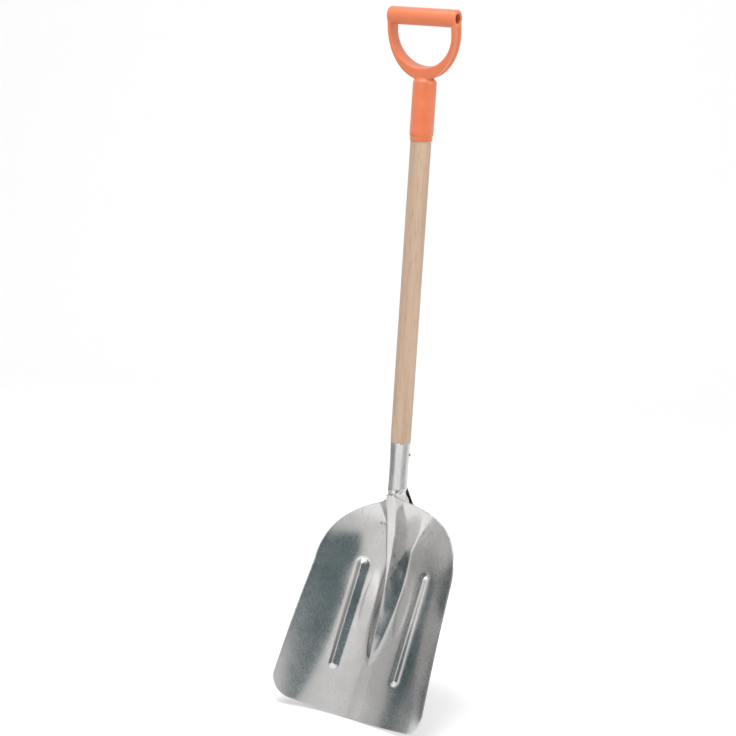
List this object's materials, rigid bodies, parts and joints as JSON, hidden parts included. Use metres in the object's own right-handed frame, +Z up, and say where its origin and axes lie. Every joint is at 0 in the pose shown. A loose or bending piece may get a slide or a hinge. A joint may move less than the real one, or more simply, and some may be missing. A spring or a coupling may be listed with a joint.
{
  "type": "grain scoop shovel",
  "caption": "Wide dished aluminium scoop with a hollow central frog and stiffening ribs on a wooden shaft with a moulded D-grip.",
  "frame": {"origin": "on the ground under the middle of the shovel's box, with the shovel standing upright on its tip", "axes": "+Z up along the shaft towards the grip, the scoop's hollow face towards -Y, +X across the scoop"},
  "size_m": [0.3092, 0.1784, 1.2445],
  "materials": {
    "pan_aluminium": "rolled sheet, bright, with fine scratches",
    "socket_aluminium": "rolled tube, bright",
    "dark_steel": "black oxide, dull",
    "rivet_aluminium": "hammered, satin",
    "screw_steel": "dull zinc",
    "shaft_wood": "pale, sanded, unvarnished",
    "grip_plastic": "moulded, satin"
  },
  "bodies": {
    "root": {"blade": "pan_aluminium", "socket": "socket_aluminium", "back_plate": "dark_steel", "plate_rivets": "rivet_aluminium", "flank_rivets": "rivet_aluminium", "neck_screws": "screw_steel", "socket_nail": "screw_steel", "shaft": "shaft_wood", "grip": "grip_plastic", "grip_screw": "screw_steel"}
  },
  "joints": []
}
